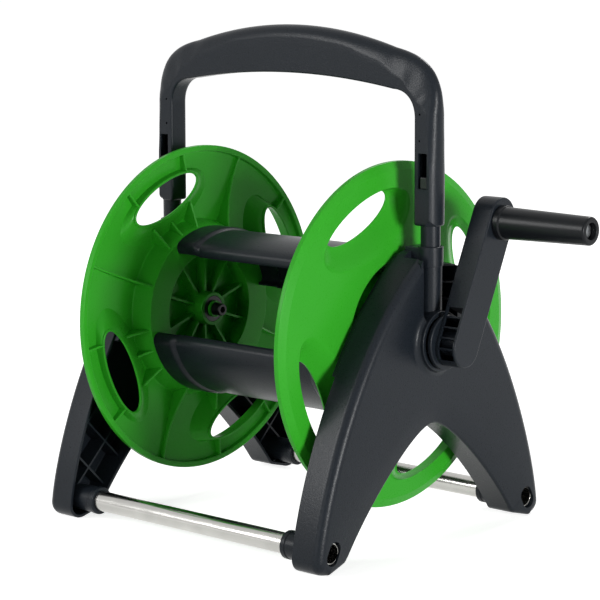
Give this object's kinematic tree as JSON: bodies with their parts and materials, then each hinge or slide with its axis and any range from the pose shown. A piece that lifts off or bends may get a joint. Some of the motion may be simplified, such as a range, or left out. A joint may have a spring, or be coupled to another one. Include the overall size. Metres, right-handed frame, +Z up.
{
  "type": "garden hose reel cart",
  "caption": "Hose reel cart: ribbed drum on barrel staves between two arched A-frames, side crank with turning grip, sliding carry handle, steel cross bars.",
  "frame": {"origin": "middle of the bounding box, on the ground", "axes": "+X along the drum's axle towards the crank, +Y to the rear, +Z up"},
  "size_m": [0.5255, 0.3322, 0.484],
  "materials": {
    "green_plastic": "satin moulded polypropylene",
    "anthracite_plastic": "fine-grained moulded polypropylene",
    "black_plastic": "smooth moulded acetal",
    "grip_plastic": "satin moulded polypropylene",
    "polished_steel": "polished plated tube",
    "zinc_steel": "zinc plated",
    "seal_rubber": "soft matt"
  },
  "bodies": {
    "frame": {"right_side_frame": "anthracite_plastic", "left_side_frame": "anthracite_plastic", "front_cross_bar": "polished_steel", "rear_cross_bar": "polished_steel", "left_handle_post": "anthracite_plastic", "right_handle_post": "anthracite_plastic", "right_axle_bush": "black_plastic", "water_inlet_elbow": "black_plastic", "tap_nipple": "black_plastic"},
    "drum": {"right_drum_disc": "green_plastic", "left_drum_disc": "green_plastic", "upper_barrel_stave": "anthracite_plastic", "lower_barrel_stave": "anthracite_plastic", "hose_outlet_spigot": "black_plastic", "spigot_lock_ring": "green_plastic", "inner_o_ring": "seal_rubber", "outer_o_ring": "seal_rubber", "crank_hub": "anthracite_plastic", "crank_arm": "anthracite_plastic", "crank_tie_bolt": "zinc_steel", "grip_spindle": "zinc_steel", "grip_nut": "zinc_steel"},
    "grip": {"crank_grip": "grip_plastic"},
    "handle": {"carry_handle": "anthracite_plastic"},
    "left_latch": {"left_latch_button": "black_plastic"},
    "right_latch": {"right_latch_button": "black_plastic"}
  },
  "joints": [
    {"name": "drum_spin", "type": "hinge", "parent": "frame", "child": "drum", "pos_m": [-0.05555, 0, 0.195], "axis": [1, 0, 0], "continuous": true},
    {"name": "grip_spin", "type": "hinge", "parent": "drum", "child": "grip", "pos_m": [0.21145, 0.04976, 0.3042], "axis": [1, 0, 0], "continuous": true},
    {"name": "handle_slide", "type": "slide", "parent": "frame", "child": "handle", "axis": [0, 0, 1], "range_m": [-0.0185, 0]},
    {"name": "left_latch_press", "type": "slide", "parent": "frame", "child": "left_latch", "axis": [0, 1, 0], "range_m": [0, 0.002], "stiffness_N_per_m": 800},
    {"name": "right_latch_press", "type": "slide", "parent": "frame", "child": "right_latch", "axis": [0, 1, 0], "range_m": [0, 0.002], "stiffness_N_per_m": 800}
  ]
}
